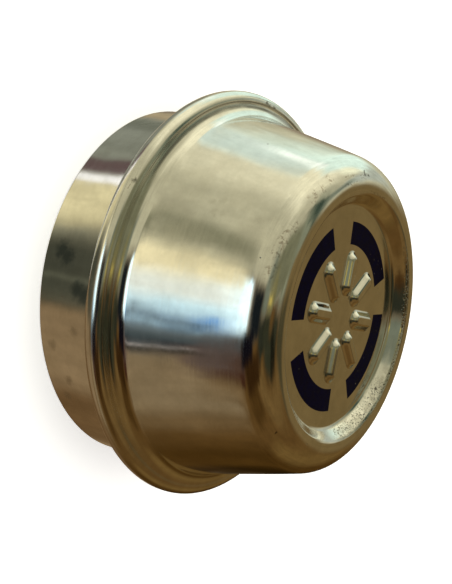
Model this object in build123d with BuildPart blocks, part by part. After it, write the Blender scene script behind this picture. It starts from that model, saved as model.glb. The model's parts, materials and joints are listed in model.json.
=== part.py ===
"""Pressed sheet-steel grease cap for a wheel hub: skirt, folded bead, tapered body and dished face."""

import os
from math import cos, radians, sin, tan

from build123d import *

# Sheet that the whole cap is drawn from
sheet = 1.0

# Skirt that is pressed into the hub
skirt_diameter = 55.5
skirt_length = 11.6
mouth_chamfer = 0.3

# Folded bead that stops the cap against the hub's face
bead_overhang = 3.65
bead_gap = 1.0
bead_crest_land = 0.2
shoulder_radius = 0.6
groove_radius = 2.1

# Tapered body and rounded nose
height = 35.1
body_foot_step = 0.35
body_taper = 15.4
nose_inner_radius = 3.7

# Dished face
rim_land = 0.2
recess_depth = 2.05
recess_wall_angle = 50.0
lip_inner_radius = 0.3
floor_radius = 1.3

# Short radial ribs pressed up from the face's floor
rib_count = 8
rib_circle_diameter = 12.8
rib_length = 6.4
rib_width = 2.8
rib_height = 0.8
rib_flank_angle = 45.0


def tangent_length(radius, turn):
    """Distance from a corner to the start of its fillet, for a path that turns by so many degrees."""
    return radius * tan(radians(turn / 2))


# Outer radii of the bends, from the sheet and the room inside each bend
bead_bend = sheet + (bead_gap - bead_crest_land) / 2
nose_bend = sheet + nose_inner_radius
lip_bend = sheet + lip_inner_radius

# Levels along the axis
bead_front = skirt_length + 2 * sheet + bead_gap
floor_level = height - recess_depth

# Corners of the section, by their distance from the axis
skirt_corner = skirt_diameter / 2
bead_corner = skirt_corner + bead_overhang
groove_corner = skirt_corner + body_foot_step
nose_corner = groove_corner - (height - bead_front) * tan(radians(body_taper))
rim_crest = nose_corner - tangent_length(nose_bend, 90 - body_taper)
lip_corner = rim_crest - rim_land - tangent_length(lip_bend, recess_wall_angle)
floor_corner = lip_corner - recess_depth / tan(radians(recess_wall_angle))

# Step from a rib's outline in front to its outline behind, at one sheet thickness
rib_flank = radians(rib_flank_angle)
rib_inset = sheet * (1 - sin(rib_flank)) / cos(rib_flank)


def rib_outlines(inset):
    """Ring of round-ended ribs that point at the axis, narrowed all round by the inset."""
    with PolarLocations(rib_circle_diameter / 2, rib_count):
        SlotOverall(rib_length - 2 * inset, rib_width - 2 * inset)


with BuildPart() as grease_cap:
    # Section of the sheet, drawn along its outer side from the mouth to the axis
    with BuildSketch(Plane.XZ) as section:
        with BuildLine():
            FilletPolyline(
                (skirt_corner, 0),
                (skirt_corner, skirt_length),
                (bead_corner, skirt_length),
                (bead_corner, bead_front),
                (groove_corner, bead_front),
                (nose_corner, height),
                (lip_corner, height),
                (floor_corner, floor_level),
                (0, floor_level),
                radius=[
                    shoulder_radius,
                    bead_bend,
                    bead_bend,
                    groove_radius,
                    nose_bend,
                    lip_bend,
                    floor_radius,
                ],
            )
            offset(amount=sheet, side=Side.LEFT)
        make_face()
        chamfer(section.vertices().group_by(Axis.Y)[0], length=mouth_chamfer)
    revolve(axis=Axis.Z)

    # Ribs raised in front
    with BuildSketch(Plane.XY.offset(floor_level)):
        rib_outlines(inset=0)
    extrude(amount=rib_height, taper=rib_flank_angle)

    # Hollows of the ribs behind
    with BuildSketch(Plane.XY.offset(floor_level - sheet)):
        rib_outlines(inset=rib_inset)
    extrude(amount=rib_height, taper=rib_flank_angle, mode=Mode.SUBTRACT)

grease_cap.part.label = "grease_cap"
os.makedirs("parts", exist_ok=True)
export_step(grease_cap.part, "parts/grease_cap.step")
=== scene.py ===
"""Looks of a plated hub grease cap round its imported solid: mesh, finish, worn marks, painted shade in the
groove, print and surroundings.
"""

import json
import math
from dataclasses import dataclass

import bpy
from mathutils import Matrix, Quaternion, Vector, noise


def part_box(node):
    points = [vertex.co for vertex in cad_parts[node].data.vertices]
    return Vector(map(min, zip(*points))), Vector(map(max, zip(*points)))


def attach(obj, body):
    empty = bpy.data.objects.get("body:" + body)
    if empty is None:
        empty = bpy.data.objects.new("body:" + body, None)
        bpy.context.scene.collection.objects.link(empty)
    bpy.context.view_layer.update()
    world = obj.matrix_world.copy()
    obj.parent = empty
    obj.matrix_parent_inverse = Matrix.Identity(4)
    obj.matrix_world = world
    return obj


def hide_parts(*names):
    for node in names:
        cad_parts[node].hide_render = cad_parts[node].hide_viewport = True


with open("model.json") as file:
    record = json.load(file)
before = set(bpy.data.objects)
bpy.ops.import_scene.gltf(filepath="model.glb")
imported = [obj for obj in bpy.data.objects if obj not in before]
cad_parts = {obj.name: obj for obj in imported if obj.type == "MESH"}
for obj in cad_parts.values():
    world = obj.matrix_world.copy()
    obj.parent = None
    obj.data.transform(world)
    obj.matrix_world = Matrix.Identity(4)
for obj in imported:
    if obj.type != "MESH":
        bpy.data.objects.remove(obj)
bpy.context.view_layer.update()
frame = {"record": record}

MM = 0.001
low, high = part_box("grease_cap")
mounts = {mount["name"]: mount for mount in frame["record"]["mounts"]}

# Sizes of the cap in millimetres, the main ones from the frame
sheet = 1.0
height = (high.z - low.z) / MM
bead_corner = (high.x - low.x) / 2 / MM
skirt_corner = mounts["skirt"]["dims"]["r_mm"]
skirt_length = mounts["shoulder"]["pos_m"][2] / MM
mouth_chamfer = 0.3
mouth_edge = 0.1
shoulder_radius = 0.6
bead_gap = 1.0
bead_bend = 1.4
groove_radius = 2.1
body_foot_step = 0.35
body_taper = math.radians(15.4)
nose_bend = 4.7
rim_land = 0.2
lip_bend = 1.3
recess_depth = 2.05
recess_wall_angle = math.radians(50)
floor_bend = 1.3

# Ribs pressed up from the face's floor, in millimetres
rib_count = 8
rib_circle_radius = 6.4
rib_length = 6.4
rib_width = 2.8
rib_height = 0.8
rib_rounding = 0.28
rib_inset = math.sqrt(2) - 1

# Printed arcs between the ribs and the edge of the floor, in millimetres and degrees
print_count = 4
print_inner = 10.6
print_outer = 13.9
print_span = 66
print_turn = 31

# Fineness of the mesh: steps round the axis, and along the section in millimetres and radians
turn_steps = 360
fine_run = 0.9
fine_chord = 0.35
fine_bend = math.radians(6.5)
coarse_run = 3.0
coarse_chord = 1.0
coarse_bend = math.radians(20)
rib_ring_step = 0.15
hollow_ring_step = 0.3
middle_ring_shares = (0.75, 0.5, 0.25)

# Small waves that the drawing leaves in the sheet: height and length of each, and the length of their fading
waves = ((0.08, 11.0), (0.01, 3.0))
wave_fade = 3.0

# Camera: it looks down at the standing cap from one side and is turned on its own axis
camera_azimuth = math.radians(0.226)
camera_elevation = math.radians(34.197)
camera_roll = math.radians(100.72)
camera_aim = Vector((-0.48, 0, 12.54)) * MM
camera_distance = 148.41 * MM
camera_lens = 58.35
camera_clip_start = 10 * MM


@dataclass
class Grain:
    """A noise: its scale, detail and roughness."""

    scale: float
    detail: float = 3.0
    roughness: float = 0.6


@dataclass
class Pits:
    """Small round pits: the share of the cells that have one, and the size of a cell and the radius of the
    largest pit in millimetres."""

    share: float
    cell: float
    radius: float


@dataclass
class Patch:
    """Part of a ring round the axis: its radius, half its width and the softness of its edges in millimetres,
    and its middle direction and half its sweep in degrees."""

    radius: float
    half: float
    softness: float
    direction: float
    sweep: float


@dataclass
class Spots:
    """Soft spots on the cap: their places and reach in millimetres, and how strongly they show."""

    places: list
    reach: float
    strength: float = 1.0


@dataclass
class Card:
    """A soft patch of the surroundings. All but its colour and strength is in degrees: heading 0 is on the
    camera's side and 90 towards +X, and the lean is how far the heading goes for each degree of elevation.
    A broken card shows only in clumps."""

    middle: tuple
    half: tuple
    softness: float
    colour: tuple
    strength: float = 1.34
    lean: float = 0.0
    broken: bool = False


# Marks that the drawing leaves round the axis: how fine across and along, and how high in millimetres
marks_across = 5.0
marks_along = 2.5
marks_grain = Grain(1.0, 4.0, 0.65)
marks_strength = 0.3
marks_rise = 0.004

# Noises of the plating and the print, with scales per millimetre
cloud_grain = Grain(0.16, 5.0)
mottle_grain = Grain(0.55)
ragged_grain = Grain(1.3)
pit_clump_grain = Grain(0.6, roughness=0.5)
# Its lumps break up the groove's grime and painted shade
dirt_and_shade_grain = Grain(0.14)
rubbed_grain = Grain(0.9, 4.0)
fleck_grain = Grain(2.0, 2.0)
ink_grain = Grain(1.2, 4.0)
noise_middle = (0.5, 0.5, 0.5)

# Ramps over noises and marks: start and end, then what they give there where that isn't 0 and 1
pit_clumps = (0.34, 0.5)
# The next two shape the lines of grime and painted shade in the groove
dirt_and_shade_lumps = (0.3, 0.6, 0.25, 1.0)
dirt_and_shade_streaks = (0.3, 0.55, 0.4, 1.0)
groove_scratches = (0.5, 0.6)
rubbed_blotches = (0.35, 0.6)
fine_flecks = (0.48, 0.64)
scratch_gaps = (0.3, 0.6, 0.4, 1.0)
grey_clouds = (0.35, 0.7)
mottle_shade = (0.3, 0.7, 0.95, 1.03)
marks_roughness = (0.25, 0.8, 0.06, 0.14)
cloud_roughness = (0.45, 0.75, 0.0, 0.06)
ink_blotches = (0.3, 0.7)
ink_roughness = (0.3, 0.7, 0.35, 0.5)

# Levels in millimetres: start and end of a ramp, or middle, half and softness of a band
pitted_levels = (31.0, 33.0)
rubbed_levels = (32.0, 33.0)
groove_band = (14.7, 0.5, 0.2)
bead_band = (13.4, 1.7, 0.6)

# Pits, the smallest as a share of the largest, and the share of a pit that is fully dark
crowded_pits = Pits(0.8, 0.19, 0.105)
lip_pits = Pits(0.75, 0.36, 0.24)
stray_pits = Pits(0.012, 0.9, 0.13)
ink_gaps = Pits(0.1, 0.5, 0.11)
smallest_pit = 0.4
pit_core = 0.45
pit_depth = 0.05

# Patches of worn marks round the axis, among them the two lines of grime and painted shade in the groove, and
# the softness of their ends in degrees
pitted_wall = Patch(17.3, 0.6, 0.3, 34, 24)
pitted_rim = Patch(18.15, 0.3, 0.2, 82, 52)
pitted_lip = Patch(18.0, 0.16, 0.12, 80, 26)
lip_cluster = Patch(18.1, 0.45, 0.15, 102, 6)
rubbed_wall = Patch(17.6, 0.5, 0.35, 38, 30)
# Two dark lines in the groove beside the bead: grime and painted shade of the crease
broad_dirt_and_shade = Patch(29.1, 0.2, 0.16, 184, 58)
thin_dirt_and_shade = Patch(29.85, 0.06, 0.05, 184, 58)
scratched_groove = Patch(30.0, 1.0, 0.3, 178, 16)
arc_softness = 6

# Spots and scratches at their places, the share of a spot that is full, and how far a ragged edge wanders
skirt_smudges = Spots(
    [(-1.9, -27.7, 3.2), (-1.2, -27.7, 4.4), (3.1, -27.5, 7.3), (3.7, -27.5, 8.4)],
    1.9,
    0.75,
)
skirt_stains = Spots([(11.5, -25.3, 2.5), (8.8, -26.3, 6.9), (16.0, -22.6, 4.3), (18.5, -20.7, 2.7)], 1.2)
body_smears = Spots(
    [
        (-11.7, -22.9, 23.3), (-12.0, -22.4, 24.5), (-10.3, -23.3, 24.1), (-10.3, -22.9, 25.3),
        (-10.2, -21.5, 30.2),
    ],
    0.8,
    0.4,
)
nose_flecks = Spots(
    [
        (-3.4, -22.2, 33.4), (-3.9, -22.1, 33.5), (-4.4, -21.7, 33.8), (-6.3, -21.5, 33.5),
        (-7.0, -21.2, 33.6), (-7.8, -20.8, 33.7), (-8.3, -20.7, 33.6), (-9.3, -20.3, 33.6),
        (-9.9, -19.3, 34.1), (-10.6, -19.1, 34.1), (-14.1, -16.4, 34.2), (-15.0, -15.7, 34.1),
        (-16.1, -14.4, 34.2), (-17.8, -12.6, 34.1),
    ],
    1.0,
)
bead_scuffs = Spots([(-30.3, -1.6, 14.5), (-30.2, -0.8, 14.5), (-30.1, 0.6, 14.5), (-12.5, -28.4, 14.2)], 0.5)
specks = Spots(
    [
        (16.6, -14.0, 34.1), (10.0, 14.2, 34.1), (-20.5, -4.1, 34.6), (-20.4, -3.2, 34.8),
        (22.1, -15.0, 21.0),
    ],
    0.4,
)
scratches = [
    ((-18.9, -9.4, 34.5), (-20.4, -3.2, 34.7)),
    ((-16.9, -10.9, 34.9), (-19.9, -3.7, 34.8)),
    ((-18.3, -2.1, 35.1), (-18.2, 3.9, 35.1)),
    ((-22.3, -16.5, 2.5), (-23.0, -15.6, 4.2)),
    ((-23.0, -15.6, 4.2), (-23.1, -15.3, 6.1)),
    ((-12.6, -28.4, 14.1), (-11.2, -29.0, 14.0)),
]
scratch_reach = 0.2
spot_core = 0.2
ragged_shift = 1.6

# Colours of the plating, of what lies on it and of the shade painted into the groove, with the strengths of
# some
pale_plating = (0.80, 0.785, 0.745, 1)
grey_plating = (0.72, 0.70, 0.65, 1)
stain_colour = (0.34, 0.31, 0.25, 1)
stain_strength = 0.4
# Grime of the bead's scuffs, and grime with painted shade for the groove's two dark lines
dirt_and_shade_colour = (0.13, 0.12, 0.10, 1)
dirt_and_shade_strength = 0.8
smudge_colour = (0.20, 0.24, 0.26, 1)
fleck_colour = (0.20, 0.14, 0.09, 1)
fleck_strength = 0.55
pit_colour = (0.07, 0.055, 0.04, 1)

# Roughness that worn marks add: of the grime, scuffs and painted groove shade, of stains as a share of that,
# and of the rubbed bead
dirt_and_shade_dulling = 0.3
stain_dulling = 0.5
bead_dulling = 0.05

# Print: the ink's two shades, the metal in its gaps, and its gloss
dark_ink = (0.0004, 0.0003, 0.005, 1)
pale_ink = (0.0010, 0.0008, 0.010, 1)
bare_metal = (0.45, 0.42, 0.35, 1)
ink_specular = 0.05

# Surroundings that the plating mirrors; later cards lie over earlier ones
cards = {
    "pale wall": Card((-92, 0), (78, 100), 8, (174, 170, 142)),
    "lit wall": Card((-101, 11), (29, 27), 13, (232, 227, 194)),
    "bright door": Card((-128, -1), (21, 19), 6, (214, 236, 222)),
    "door's head": Card((-136, 20), (8, 6), 4, (232, 232, 200)),
    "door's low part": Card((-103, -16), (12, 6), 5, (204, 220, 208)),
    "door's bright edge": Card((-111, -6), (4, 10), 3, (240, 250, 238), 1.45),
    "door's frame": Card((-153, 18), (6, 18), 4, (168, 174, 160)),
    "back ceiling": Card((-150, 60), (28, 17), 8, (124, 128, 106)),
    "grey ceiling": Card((-20, 60), (30, 9), 6, (104, 110, 94)),
    "dim ceiling": Card((-90, 76), (75, 16), 6, (106, 106, 82)),
    "dark shelf": Card((-146, 48), (15, 5.5), 4, (54, 68, 56), lean=3.6),
    "shelf's end": Card((-153, 36), (4, 8), 4, (106, 114, 98)),
    "shade on the wall": Card((-32, -6), (7, 6), 6, (118, 117, 93), lean=1.3),
    "brown wall": Card((100, 0), (72, 100), 8, (84, 61, 30)),
    "dark brown wall": Card((76, 26), (16, 14), 7, (66, 46, 19)),
    "back wall's top": Card((116, 50), (52, 8), 5, (98, 76, 42)),
    "bench's far end": Card((81, -16), (11, 11), 7, (100, 80, 52)),
    "bench": Card((58, -16), (20, 11), 6, (124, 107, 80)),
    "bench's upper side": Card((62, -3), (16, 4), 3, (98, 78, 50)),
    "warm wall": Card((138, 14), (26, 14), 8, (102, 79, 41)),
    "dark corner": Card((136, -14), (30, 20), 12, (65, 44, 15)),
    "black corner": Card((154, -29), (18, 10), 6, (26, 15, 2)),
    "ceiling over the window": Card((36, 62), (20, 14), 6, (38, 40, 30)),
    "gold ceiling": Card((-20, 80), (40, 9), 6, (112, 107, 72)),
    "gold lamp": Card((-5, 75), (8, 5), 4, (186, 168, 88)),
    "dark ceiling": Card((98, 72), (72, 9), 5, (44, 45, 32)),
    "black end of the ceiling": Card((134, 70), (18, 9), 5, (20, 21, 14)),
    "back of the room": Card((-179, 20), (15, 40), 5, (104, 87, 54)),
    "dark beam at the back": Card((173, 49), (9, 12), 4, (62, 57, 38)),
    "low grey": Card((-115, -60), (50, 28), 3, (124, 127, 114)),
    "low grey's dark end": Card((-122, -45), (6, 16), 4, (104, 107, 94)),
    "low tan": Card((-141, -45), (9, 16), 4, (156, 142, 112)),
    "low back": Card((-168, -50), (18, 28), 6, (128, 114, 94)),
    "white ground": Card((180, -64), (32, 14), 6, (240, 240, 234)),
    "low cream": Card((-44, -60), (19, 28), 4, (206, 196, 154)),
    "low dark strip": Card((-72, -60), (6, 28), 2, (92, 76, 74)),
    "low white strip": Card((-62, -60), (3, 28), 1.5, (245, 245, 242), 1.4),
    "low dark": Card((4, -60), (28, 30), 16, (62, 63, 52)),
    "low pale line": Card((8, -60), (1.6, 30), 2, (86, 87, 72)),
    "low brown": Card((98, -60), (69, 28), 5, (124, 104, 76)),
    "low brown's far end": Card((118, -60), (32, 28), 12, (92, 69, 42)),
    "header": Card((10, 36), (20, 15), 6, (18, 23, 26)),
    "curtain": Card((-6.5, -5), (12, 13), 4, (228, 217, 174), lean=1.5),
    "window": Card((5, 2), (11, 15), 6, (222, 228, 218), 1.4),
    "pale sky": Card((13, -3), (6, 9), 5, (198, 230, 240), 1.4),
    "sky": Card((20, -5), (6, 9), 5, (140, 168, 182), lean=-0.5),
    "blue in the sky": Card((19, -3.6), (5, 2.4), 1.4, (88, 140, 196), 1.4, broken=True),
    "bright pane": Card((6, 6), (18, 7), 3, (214, 242, 250), 2.0),
    "mist": Card((16, -10), (5, 1.6), 2.5, (130, 152, 162)),
    "near trees": Card((23, -9.6), (9, 2.0), 2.0, (92, 106, 114), broken=True),
    "middle tree": Card((23, -5.6), (5, 1.2), 1.2, (76, 94, 106), broken=True),
    "trees": Card((34, -7), (7, 9), 4, (68, 77, 79)),
    "dark trees": Card((35, -8), (3, 2.6), 2, (42, 54, 58)),
    "red shade": Card((43, 0), (9, 8.6), 2.5, (76, 57, 46)),
    "dark red shade": Card((52, 1), (5, 6), 3, (56, 33, 21)),
    "red slope": Card((38, -5), (7, 2.6), 2, (84, 72, 67), lean=-3.2),
    "sill": Card((37.4, -9.8), (0.6, 2.8), 0.6, (170, 162, 156)),
    "under the sill": Card((39.7, -9), (1.5, 3.5), 1.0, (54, 48, 38)),
    "dark post": Card((33, 17), (12, 16), 4, (13, 11, 17)),
    "brown beam": Card((53, 30), (12, 20), 6, (46, 29, 11)),
}

# Rest of the surroundings: colour between the cards, noises over directions with what they do, and backdrop
plain_room = (120, 108, 84)
layer_stretch = (1, 1, 5)
wavers = ((Grain(2.6), 0.16), (Grain(8.0), 0.12), (Grain(22.0), 0.03))
card_clump_grain = Grain(7.0, roughness=0.5)
card_clumps = (0.4, 0.56)
room_patch_grain = Grain(4.0, 4.0)
room_patches = (0.25, 0.75, 0.84, 1.16)
room_streak_grain = Grain(28.0)
room_streaks = (0.25, 0.75, 0.92, 1.08)
backdrop = (1.0, 1.0, 1.0, 1)

# Floor and overhead light, in metres and watts
floor_reach = 2.0
floor_grain = Grain(6.0, roughness=0.5)
floor_grey = (0.90, 0.90, 0.895, 1)
floor_white = (0.93, 0.93, 0.925, 1)
floor_roughness = 0.9
floor_glow = 0.6
light_size = 1.2
light_power = 5.5
light_height = 0.8


def tangent_length(radius, turn):
    """Distance from a corner to the start of its bend."""
    return radius * math.tan(turn / 2)


def section_corners():
    """Corners of the sheet's outer side, as distance from the axis and level, from the mouth to the axis, and
    their bends. The second corner, on the straight skirt, ends the smooth shading of the mouth's chamfer."""
    bead_front = skirt_length + 2 * sheet + bead_gap
    floor_level = height - recess_depth
    groove_corner = skirt_corner + body_foot_step
    nose_corner = groove_corner - (height - bead_front) * math.tan(body_taper)
    rim_crest = nose_corner - tangent_length(nose_bend, math.pi / 2 - body_taper)
    lip_corner = rim_crest - rim_land - tangent_length(lip_bend, recess_wall_angle)
    floor_corner = lip_corner - recess_depth / math.tan(recess_wall_angle)
    corners = [
        (skirt_corner, mouth_chamfer),
        (skirt_corner, mouth_chamfer + mouth_edge),
        (skirt_corner, skirt_length),
        (bead_corner, skirt_length),
        (bead_corner, bead_front),
        (groove_corner, bead_front),
        (nose_corner, height),
        (lip_corner, height),
        (floor_corner, floor_level),
        (floor_corner - floor_bend, floor_level),
    ]
    bends = [0, shoulder_radius, bead_bend, bead_bend, groove_radius, nose_bend, lip_bend, floor_bend]
    return [Vector(corner) for corner in corners], bends


def rounded_line(corners, bends, run_step, chord, bend_step):
    """Places along a line with rounded corners, each with the normal on the line's right-hand side."""
    line = []
    start = corners[0]
    for before, corner, after, radius in zip(corners, corners[1:], corners[2:], bends):
        inward = (corner - before).normalized()
        onward = (after - corner).normalized()
        turn = math.atan2(inward.cross(onward), inward.dot(onward))
        bend_start = corner - inward * tangent_length(radius, abs(turn))
        normal = Vector((inward.y, -inward.x))
        line += straight_run(start, bend_start, normal, run_step)
        centre = bend_start - normal * math.copysign(radius, turn)
        steps = math.ceil(max(abs(turn) / bend_step, abs(turn) * radius / chord))
        for step in range(steps):
            spin = Matrix.Rotation(turn * step / steps, 2)
            line.append((centre + spin @ (bend_start - centre), spin @ normal))
        start = corner + onward * tangent_length(radius, abs(turn))
    onward = (corners[-1] - start).normalized()
    normal = Vector((onward.y, -onward.x))
    return line + straight_run(start, corners[-1], normal, run_step) + [(corners[-1], normal)]


def straight_run(start, end, normal, run_step):
    """Even places from the start of a straight run up to just before its end."""
    steps = max(1, math.ceil((end - start).length / run_step))
    return [(start.lerp(end, step / steps), normal) for step in range(steps)]


def soft_above(value, limit, rounding):
    """The larger of value and limit, with the corner between them rounded."""
    gap = value - limit
    if abs(gap) >= rounding:
        return max(value, limit)
    return limit + (gap + rounding) ** 2 / (4 * rounding)


def rib_rise(radius, angle, inset):
    """Height of the ribs above the floor at a place, for ribs narrowed all round by the inset."""
    pitch = 2 * math.pi / rib_count
    from_rib = (angle + pitch / 2) % pitch - pitch / 2
    along = abs(radius * math.cos(from_rib) - rib_circle_radius) - (rib_length - rib_width) / 2
    inside = rib_width / 2 - inset - math.hypot(max(along, 0), radius * math.sin(from_rib))
    rise = soft_above(inside, 0, rib_rounding)
    return -soft_above(-rise, -rib_height, rib_rounding)


def floor_radii(edge, ring_step):
    """Distances of the floor's rings from the axis, from the edge inwards; some lie on the print's edges."""
    rib_reach = rib_circle_radius + rib_length / 2 + rib_rounding
    rib_start = rib_circle_radius - rib_length / 2 - rib_rounding
    steps = math.ceil((rib_reach - rib_start) / ring_step)
    ribs = [rib_reach - (rib_reach - rib_start) * step / steps for step in range(steps + 1)]
    middle = [rib_start * share for share in middle_ring_shares]
    print_middle = (print_inner + print_outer) / 2
    return [(edge + print_outer) / 2, print_outer, print_middle, print_inner] + ribs + middle


def unevenness(place):
    """Small waves of the skirt and body, in millimetres, fading out at the mouth, the bead and the face."""
    bead_middle = skirt_length + sheet + bead_gap / 2
    from_bead = abs(place.z - bead_middle) - bead_gap
    from_edge = min(place.z, from_bead, height - place.z)
    fade = max(0, min(1, from_edge / wave_fade))
    return fade * sum(rise * noise.noise(place / length) for rise, length in waves)


def turned_ring(radius, level, normal, inset=None):
    """One ring of places in millimetres; with an inset given, the ribs lift it."""
    ring = []
    for step in range(turn_steps):
        angle = 2 * math.pi * step / turn_steps
        outward = Vector((math.cos(angle), math.sin(angle), 0))
        place = outward * radius + Vector((0, 0, level))
        if inset is None:
            place += (outward * normal.x + Vector((0, 0, normal.y))) * unevenness(place)
        else:
            place.z += rib_rise(radius, angle, inset)
        ring.append(place)
    return ring


def side_of_sheet(depth, inset, steps, ring_step):
    """Rings of the sheet at a depth below its outer side, from the mouth to the axis, and their radii."""
    corners, bends = section_corners()
    rings = []
    radii = []
    for place, normal in rounded_line(corners, bends, *steps):
        place = place - normal * depth
        rings.append(turned_ring(place.x, place.y, normal))
        radii.append(place.x)
    for radius in floor_radii(radii[-1], ring_step):
        rings.append(turned_ring(radius, corners[-1].y - depth, normal, inset))
        radii.append(radius)
    return rings, radii


def sheet_rings():
    """Rings of the outer side, the inner side and the mouth's edge in turn, and the outer side's radii."""
    fine = (fine_run, fine_chord, fine_bend)
    coarse = (coarse_run, coarse_chord, coarse_bend)
    outer, outer_radii = side_of_sheet(0, 0, fine, rib_ring_step)
    inner, _ = side_of_sheet(sheet, rib_inset, coarse, hollow_ring_step)
    down = Vector((0, -1))
    mouth = [turned_ring(skirt_corner - depth, 0, down) for depth in (sheet - mouth_chamfer, mouth_chamfer)]
    return outer + inner[::-1] + mouth, outer_radii


def is_printed(step):
    """Whether the mesh's step round the axis lies in one of the printed arcs."""
    from_start = (step * 360 / turn_steps - print_turn) % (360 / print_count)
    return from_start < print_span


def ring_faces(ring_count, outer_radii):
    """Faces between neighbouring rings, all round the sheet but at the axis, and the material of each."""
    faces = []
    inks = []
    for index in range(ring_count):
        if index == len(outer_radii) - 1:
            continue
        after = (index + 1) % ring_count
        in_print = after < len(outer_radii) and print_inner <= outer_radii[after] < print_outer
        this_ring = index * turn_steps
        next_ring = after * turn_steps
        for step in range(turn_steps):
            turned = (step + 1) % turn_steps
            faces.append((this_ring + step, this_ring + turned, next_ring + turned, next_ring + step))
            inks.append(1 if in_print and is_printed(step) else 0)
    return faces, inks


def hub_faces(index, hub, flipped):
    """Faces from the ring of that index to a point on the axis."""
    faces = []
    for step in range(turn_steps):
        pair = [index * turn_steps + step, index * turn_steps + (step + 1) % turn_steps]
        faces.append((*(pair[::-1] if flipped else pair), hub))
    return faces


def make_shell():
    """The whole cap as one closed mesh: outer side, inner side and the mouth's edge between them."""
    rings, outer_radii = sheet_rings()
    places = [place for ring in rings for place in ring]
    faces, inks = ring_faces(len(rings), outer_radii)
    outer_end = len(outer_radii) - 1
    for index, flipped in ((outer_end, False), (outer_end + 1, True)):
        faces += hub_faces(index, len(places), flipped)
        places.append(Vector((0, 0, rings[index][0].z)))
        inks += [0] * turn_steps
    mesh = bpy.data.meshes.new("cap_shell")
    mesh.from_pydata([place * MM for place in places], [], faces)
    mesh.polygons.foreach_set("material_index", inks)
    mesh.shade_smooth()
    shell = bpy.data.objects.new("cap_shell", mesh)
    bpy.context.collection.objects.link(shell)
    return shell


class Graph:
    """A node tree in the making. Inputs are numbers, vectors, colours or the outputs of other nodes."""

    def __init__(self, tree):
        self.tree = tree
        tree.nodes.clear()

    def add(self, kind, settings=None, **inputs):
        """A new node with its settings, and its inputs by name with _ for a blank."""
        node = self.tree.nodes.new(kind)
        for name, value in (settings or {}).items():
            setattr(node, name, value)
        for name, value in inputs.items():
            self.feed(node.inputs[name.replace("_", " ")], value)
        return node

    def feed(self, socket, value):
        """Links an output to the socket, or sets the socket's own value."""
        if isinstance(value, bpy.types.NodeSocket):
            self.tree.links.new(value, socket)
        else:
            socket.default_value = value

    def math(self, operation, *values):
        """A Math node's output."""
        node = self.add("ShaderNodeMath", {"operation": operation})
        for socket, value in zip(node.inputs, values):
            self.feed(socket, value)
        return node.outputs[0]

    def vector(self, operation, *values, output="Vector"):
        """A Vector Math node's output; the second value of SCALE is a number."""
        node = self.add("ShaderNodeVectorMath", {"operation": operation})
        self.feed(node.inputs[0], values[0])
        if operation == "SCALE":
            self.feed(node.inputs["Scale"], values[1])
        elif len(values) > 1:
            self.feed(node.inputs[1], values[1])
        return node.outputs[output]

    def ramp(self, value, start, end, low=0.0, high=1.0):
        """Smooth change from low to high while the value goes from start to end."""
        node = self.add("ShaderNodeMapRange", {"interpolation_type": "SMOOTHSTEP"}, Value=value)
        for socket, number in zip(list(node.inputs)[1:5], (start, end, low, high)):
            self.feed(socket, number)
        return node.outputs["Result"]

    def mix(self, share, first, second):
        """Colour between first and second."""
        node = self.add("ShaderNodeMix", {"data_type": "RGBA"})
        for index, value in ((0, share), (6, first), (7, second)):
            self.feed(node.inputs[index], value)
        return node.outputs[2]

    def noise(self, place, grain, output="Fac"):
        """Noise of a grain at a place."""
        node = self.add(
            "ShaderNodeTexNoise",
            Vector=place,
            Scale=grain.scale,
            Detail=grain.detail,
            Roughness=grain.roughness,
        )
        return node.outputs[output]


def new_material(name):
    """A new material and its graph."""
    material = bpy.data.materials.new(name)
    material.use_nodes = True
    return material, Graph(material.node_tree)


def add_surface(graph, **inputs):
    """The material's shader, with its inputs by name, and its output."""
    shader = graph.add("ShaderNodeBsdfPrincipled", **inputs)
    graph.add("ShaderNodeOutputMaterial", Surface=shader.outputs[0])


def display_colour(red, green, blue, strength=1.0):
    """Linear colour of an 8-bit display colour, times a strength."""
    shares = [channel / 255 for channel in (red, green, blue)]
    linear = [share / 12.92 if share < 0.04 else ((share + 0.055) / 1.055) ** 2.4 for share in shares]
    return (*[share * strength for share in linear], 1)


def make_camera():
    """Camera at the photograph's viewing angle."""
    data = bpy.data.cameras.new("camera")
    data.lens = camera_lens
    data.clip_start = camera_clip_start
    camera = bpy.data.objects.new("camera", data)
    bpy.context.collection.objects.link(camera)
    back = Vector((
        math.sin(camera_azimuth) * math.cos(camera_elevation),
        -math.cos(camera_azimuth) * math.cos(camera_elevation),
        math.sin(camera_elevation),
    ))
    camera.location = camera_aim + back * camera_distance
    camera.rotation_mode = "QUATERNION"
    camera.rotation_quaternion = back.to_track_quat("Z", "Y") @ Quaternion((0, 0, 1), camera_roll)
    bpy.context.scene.camera = camera


@dataclass
class Where:
    """Outputs that say where a point of the cap lies: its place in millimetres, its distance from the axis,
    its level, and its direction round the axis."""

    place: bpy.types.NodeSocket
    radius: bpy.types.NodeSocket
    level: bpy.types.NodeSocket
    around: bpy.types.NodeSocket


@dataclass
class WearAndShade:
    """Masks of the plating's worn marks, and of the grime and painted shade in the groove."""

    pitted: bpy.types.NodeSocket
    specked: bpy.types.NodeSocket
    dirt_and_shade: bpy.types.NodeSocket
    stained: bpy.types.NodeSocket
    smudged: bpy.types.NodeSocket
    flecked: bpy.types.NodeSocket


def place_in_millimetres(graph):
    """Place on the piece, in millimetres."""
    node = graph.add("ShaderNodeTexCoord")
    return graph.vector("SCALE", node.outputs["Object"], 1 / MM)


def where_on_cap(graph):
    """Where a point of the cap lies."""
    place = place_in_millimetres(graph)
    flat = graph.vector("MULTIPLY", place, (1, 1, 0))
    return Where(
        place=place,
        radius=graph.vector("LENGTH", flat, output="Value"),
        level=graph.add("ShaderNodeSeparateXYZ", Vector=place).outputs["Z"],
        around=graph.vector("NORMALIZE", flat),
    )


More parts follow.
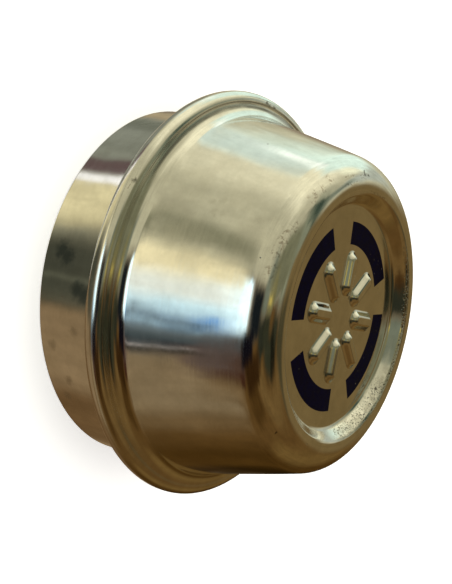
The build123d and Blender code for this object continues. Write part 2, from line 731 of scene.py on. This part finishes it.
def drawing_marks(graph, where):
    """Fine lines round the axis, broken up along their length."""
    turn = graph.add("ShaderNodeSeparateXYZ", Vector=where.around)
    across = graph.add(
        "ShaderNodeCombineXYZ",
        X=graph.math("MULTIPLY", where.radius, marks_across),
        Y=graph.math("MULTIPLY", where.level, marks_across),
        Z=graph.math("MULTIPLY", turn.outputs["X"], marks_along),
    )
    node = graph.add(
        "ShaderNodeTexNoise",
        {"noise_dimensions": "4D"},
        Vector=across.outputs[0],
        W=graph.math("MULTIPLY", turn.outputs["Y"], marks_along),
        Scale=marks_grain.scale,
        Detail=marks_grain.detail,
        Roughness=marks_grain.roughness,
    )
    return node.outputs["Fac"]


def pits(graph, place, kind):
    """Mask of pits of one kind, at most one in each cell."""
    cells = graph.add("ShaderNodeTexVoronoi", Vector=place, Scale=1 / kind.cell)
    lot = graph.add("ShaderNodeSeparateColor", Color=cells.outputs["Color"])
    chosen = graph.math("LESS_THAN", lot.outputs["Red"], kind.share)
    smallest = smallest_pit * kind.radius / kind.cell
    size = graph.ramp(lot.outputs["Green"], 0.0, 1.0, smallest, kind.radius / kind.cell)
    spot = graph.ramp(graph.math("DIVIDE", cells.outputs["Distance"], size), 1.0, pit_core)
    return graph.math("MULTIPLY", chosen, spot)


def band(graph, value, middle, half, softness):
    """Mask of the values within half of the middle, with soft edges."""
    away = graph.math("ABSOLUTE", graph.math("SUBTRACT", value, middle))
    return graph.ramp(away, half + softness, half - softness)


def arc(graph, around, middle, half):
    """Mask of the directions round the axis within half of the middle, in degrees, with soft ends."""
    spin = math.radians(middle)
    toward = graph.vector("DOT_PRODUCT", around, (math.cos(spin), math.sin(spin), 0), output="Value")
    outer = math.cos(math.radians(half + arc_softness))
    inner = math.cos(math.radians(half - arc_softness))
    return graph.ramp(toward, outer, inner)


def product(graph, *masks):
    """Masks multiplied together."""
    result = masks[0]
    for mask in masks[1:]:
        result = graph.math("MULTIPLY", result, mask)
    return result


def largest(graph, *masks):
    """The largest of the masks at each place."""
    result = masks[0]
    for mask in masks[1:]:
        result = graph.math("MAXIMUM", result, mask)
    return result


def patched(graph, where, *patches):
    """Mask of some patches together."""
    masks = []
    for patch in patches:
        ring = band(graph, where.radius, patch.radius, patch.half, patch.softness)
        masks.append(product(graph, ring, arc(graph, where.around, patch.direction, patch.sweep)))
    return largest(graph, *masks)


def ragged_place(graph, place):
    """The place, shifted by up to half a millimetre or so to give spots a ragged edge."""
    shift = graph.vector("SUBTRACT", graph.noise(place, ragged_grain, "Color"), noise_middle)
    return graph.vector("ADD", place, graph.vector("SCALE", shift, ragged_shift))


def near(graph, gaps, reach, strength=1.0):
    """Mask of what is near the nearest of some things, from the gaps to them."""
    nearest = gaps[0]
    for gap in gaps[1:]:
        nearest = graph.math("MINIMUM", nearest, gap)
    return graph.ramp(nearest, reach, spot_core * reach, 0.0, strength)


def spotted(graph, place, spots):
    """Mask of some spots."""
    gaps = [graph.vector("DISTANCE", place, middle, output="Value") for middle in spots.places]
    return near(graph, gaps, spots.reach, spots.strength)


def scratched(graph, place):
    """Mask of the scratches, each from one place to another."""
    gaps = []
    for start, end in scratches:
        along = Vector(end) - Vector(start)
        from_start = graph.vector("SUBTRACT", place, start)
        share = graph.vector("DOT_PRODUCT", from_start, along / along.length_squared, output="Value")
        share = graph.math("MINIMUM", graph.math("MAXIMUM", share, 0.0), 1.0)
        foot = graph.vector("SCALE", along, share)
        gaps.append(graph.vector("DISTANCE", from_start, foot, output="Value"))
    return near(graph, gaps, scratch_reach)


def worn_pits(graph, where):
    """Mask of the pits: crowded on parts of the recess wall, the rim and the lip, few elsewhere."""
    face_side = graph.ramp(where.level, *pitted_levels)
    clump = graph.ramp(graph.noise(where.place, pit_clump_grain), *pit_clumps)
    crowd = patched(graph, where, pitted_wall, pitted_rim)
    crowded = product(graph, pits(graph, where.place, crowded_pits), clump, face_side, crowd)
    lip = patched(graph, where, pitted_lip, lip_cluster)
    blots = product(graph, pits(graph, where.place, lip_pits), face_side, lip)
    return largest(graph, crowded, blots, pits(graph, where.place, stray_pits))


def groove_dirt_and_shade(graph, where, marks):
    """Mask of the grime and painted shade in the groove beside the bead: two dark lines on one side, and
    scratches amid them.
    """
    lumps = graph.ramp(graph.noise(where.place, dirt_and_shade_grain), *dirt_and_shade_lumps)
    lines = patched(graph, where, broad_dirt_and_shade, thin_dirt_and_shade)
    lines = product(graph, lines, lumps, graph.ramp(marks, *dirt_and_shade_streaks))
    fine = product(graph, graph.ramp(marks, *groove_scratches), patched(graph, where, scratched_groove))
    return product(graph, band(graph, where.level, *groove_band), largest(graph, lines, fine))


def dulled_wall(graph, where):
    """Mask of the dull, rubbed part of the recess wall, below the lip."""
    blotches = graph.ramp(graph.noise(where.place, rubbed_grain), *rubbed_blotches)
    side = patched(graph, where, rubbed_wall)
    return product(graph, blotches, side, graph.ramp(where.level, *rubbed_levels))


def find_wear_and_shade(graph, where, marks, mottle):
    """All the masks of the plating's worn marks, with the grime and painted shade in the groove."""
    ragged = ragged_place(graph, where.place)
    # Grime and painted shade in the groove, with the bead's scuffs
    dirt_and_shade_mask = largest(graph, groove_dirt_and_shade(graph, where, marks), spotted(graph, ragged, bead_scuffs))
    stains = [spotted(graph, ragged, spots) for spots in (skirt_stains, body_smears)]
    fine = graph.ramp(graph.noise(where.place, fleck_grain), *fine_flecks)
    flecks = product(graph, spotted(graph, ragged, nose_flecks), fine)
    lines = product(graph, scratched(graph, ragged), graph.ramp(mottle, *scratch_gaps))
    return WearAndShade(
        pitted=worn_pits(graph, where),
        specked=spotted(graph, ragged, specks),
        dirt_and_shade=graph.math("MULTIPLY", dirt_and_shade_mask, dirt_and_shade_strength),
        stained=largest(graph, *stains, dulled_wall(graph, where)),
        smudged=spotted(graph, ragged, skirt_smudges),
        flecked=largest(graph, flecks, lines),
    )


def plating_colour(graph, clouds, mottle, wear_and_shade):
    """Colour of the plating: clean metal, then what lies on it, with the shade painted into the groove."""
    colour = graph.mix(graph.ramp(clouds, *grey_clouds), pale_plating, grey_plating)
    colour = graph.vector("SCALE", colour, graph.ramp(mottle, *mottle_shade))
    layers = (
        (graph.math("MULTIPLY", wear_and_shade.stained, stain_strength), stain_colour),
        # The groove's grime and painted shade, and the bead's scuffs
        (wear_and_shade.dirt_and_shade, dirt_and_shade_colour),
        (wear_and_shade.smudged, smudge_colour),
        (graph.math("MULTIPLY", wear_and_shade.flecked, fleck_strength), fleck_colour),
        (largest(graph, wear_and_shade.pitted, wear_and_shade.specked), pit_colour),
    )
    for mask, layer_colour in layers:
        colour = graph.mix(mask, colour, layer_colour)
    return colour


def plating_roughness(graph, where, marks, clouds, wear_and_shade):
    """Roughness of the plating: more along marks, in clouds, on the bead, and under grime, painted groove
    shade and stains.
    """
    smooth = graph.math("ADD", graph.ramp(marks, *marks_roughness), graph.ramp(clouds, *cloud_roughness))
    worn = largest(graph, wear_and_shade.dirt_and_shade, graph.math("MULTIPLY", wear_and_shade.stained, stain_dulling))
    worn = graph.math("MULTIPLY", worn, dirt_and_shade_dulling)
    on_bead = graph.math("MULTIPLY", band(graph, where.level, *bead_band), bead_dulling)
    return graph.math("ADD", smooth, graph.math("ADD", worn, on_bead))


def plating_normal(graph, marks, pitted):
    """Normal of the plating, with raised marks and sunk pits."""
    raised = graph.add("ShaderNodeBump", Height=marks, Strength=marks_strength, Distance=marks_rise * MM)
    sunk = graph.add(
        "ShaderNodeBump", {"invert": True}, Height=pitted, Distance=pit_depth * MM, Normal=raised.outputs[0]
    )
    return sunk.outputs[0]


def steel_material():
    """Bright plating on drawn steel, with its marks, stains, grime, pits and painted shade in the groove."""
    material, graph = new_material("plated_steel")
    where = where_on_cap(graph)
    marks = drawing_marks(graph, where)
    clouds = graph.noise(where.place, cloud_grain)
    mottle = graph.noise(where.place, mottle_grain)
    wear_and_shade = find_wear_and_shade(graph, where, marks, mottle)
    add_surface(
        graph,
        Base_Color=plating_colour(graph, clouds, mottle, wear_and_shade),
        Metallic=1.0,
        Roughness=plating_roughness(graph, where, marks, clouds, wear_and_shade),
        Normal=plating_normal(graph, marks, wear_and_shade.pitted),
    )
    return material


def ink_material():
    """Dark blue print, with small gaps where the plating shows."""
    material, graph = new_material("printed_ink")
    place = place_in_millimetres(graph)
    bare = pits(graph, place, ink_gaps)
    blotches = graph.noise(place, ink_grain)
    ink = graph.mix(graph.ramp(blotches, *ink_blotches), dark_ink, pale_ink)
    add_surface(
        graph,
        Base_Color=graph.mix(bare, ink, bare_metal),
        Metallic=bare,
        Roughness=graph.ramp(blotches, *ink_roughness),
        Specular_IOR_Level=ink_specular,
    )
    return material


def card_mask(graph, heading, elevation, card):
    """How much of a card lies at a heading and elevation."""
    rise = graph.math("SUBTRACT", elevation, math.radians(card.middle[1]))
    turn = graph.math("SUBTRACT", heading, math.radians(card.middle[0]))
    if card.lean:
        turn = graph.math("SUBTRACT", turn, graph.math("MULTIPLY", rise, card.lean))
    turn = graph.math("WRAP", turn, math.pi, -math.pi)
    sides = [
        graph.ramp(
            graph.math("ABSOLUTE", value),
            math.radians(reach + card.softness),
            math.radians(reach - card.softness),
        )
        for value, reach in ((turn, card.half[0]), (rise, card.half[1]))
    ]
    return graph.math("MULTIPLY", *sides)


def wavering(graph, straight, layered):
    """The direction, shifted a little to and fro, so that no card has a straight edge."""
    direction = straight
    for grain, reach in wavers:
        shift = graph.vector("SUBTRACT", graph.noise(layered, grain, "Color"), noise_middle)
        direction = graph.vector("ADD", direction, graph.vector("SCALE", shift, reach))
    return graph.vector("NORMALIZE", direction)


def heading_and_elevation(graph, direction):
    """Heading and elevation of a direction, in radians."""
    parts = graph.add("ShaderNodeSeparateXYZ", Vector=direction)
    forward = graph.math("MULTIPLY", parts.outputs["Y"], -1.0)
    heading = graph.math("ARCTAN2", parts.outputs["X"], forward)
    return heading, graph.math("ARCSINE", parts.outputs["Z"])


def room_colour(graph, straight):
    """Colour of the surroundings in a direction: the cards on the plain room, slightly uneven."""
    layered = graph.vector("MULTIPLY", straight, layer_stretch)
    heading, elevation = heading_and_elevation(graph, wavering(graph, straight, layered))
    clumps = graph.ramp(graph.noise(layered, card_clump_grain), *card_clumps)
    colour = display_colour(*plain_room)
    for card in cards.values():
        mask = card_mask(graph, heading, elevation, card)
        if card.broken:
            mask = graph.math("MULTIPLY", mask, clumps)
        colour = graph.mix(mask, colour, display_colour(*card.colour, card.strength))
    patches = graph.ramp(graph.noise(layered, room_patch_grain), *room_patches)
    streaks = graph.ramp(graph.noise(straight, room_streak_grain), *room_streaks)
    return graph.vector("SCALE", colour, graph.math("MULTIPLY", patches, streaks))


def make_world():
    """Soft surroundings for the plating to mirror; the camera itself sees a plain pale backdrop."""
    world = bpy.data.worlds.new("studio")
    bpy.context.scene.world = world
    world.use_nodes = True
    graph = Graph(world.node_tree)
    mirrored = room_colour(graph, graph.add("ShaderNodeTexCoord").outputs["Generated"])
    seen = graph.add("ShaderNodeLightPath").outputs["Is Camera Ray"]
    background = graph.add("ShaderNodeBackground", Color=graph.mix(seen, mirrored, backdrop), Strength=1.0)
    graph.add("ShaderNodeOutputWorld", Surface=background.outputs[0])


def floor_material():
    """Pale paint, slightly cloudy, that glows enough to stay white."""
    material, graph = new_material("floor_paint")
    place = graph.add("ShaderNodeTexCoord").outputs["Object"]
    add_surface(
        graph,
        Base_Color=graph.mix(graph.noise(place, floor_grain), floor_grey, floor_white),
        Roughness=floor_roughness,
        Specular_IOR_Level=0.0,
        Emission_Color=(1, 1, 1, 1),
        Emission_Strength=floor_glow,
    )
    return material


def make_floor():
    """Plain pale floor under the cap, kept out of the plating's mirror."""
    mesh = bpy.data.meshes.new("floor")
    corners = [(x * floor_reach, y * floor_reach, 0) for x, y in ((-1, -1), (1, -1), (1, 1), (-1, 1))]
    mesh.from_pydata(corners, [], [(0, 1, 2, 3)])
    mesh.materials.append(floor_material())
    floor = bpy.data.objects.new("floor", mesh)
    bpy.context.collection.objects.link(floor)
    floor.visible_glossy = False


def make_overhead_light():
    """Broad soft light from above for the floor and the print."""
    data = bpy.data.lights.new("overhead", "AREA")
    data.shape = "DISK"
    data.size = light_size
    data.energy = light_power
    light = bpy.data.objects.new("overhead", data)
    light.location = (0, 0, light_height)
    light.visible_glossy = False
    bpy.context.collection.objects.link(light)


def main():
    """Builds the scene round the frame."""
    shell = make_shell()
    shell.data.materials.append(steel_material())
    shell.data.materials.append(ink_material())
    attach(shell, "root")
    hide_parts("grease_cap")
    make_world()
    make_floor()
    make_overhead_light()
    make_camera()
    bpy.context.scene.view_settings.view_transform = "Standard"


main()
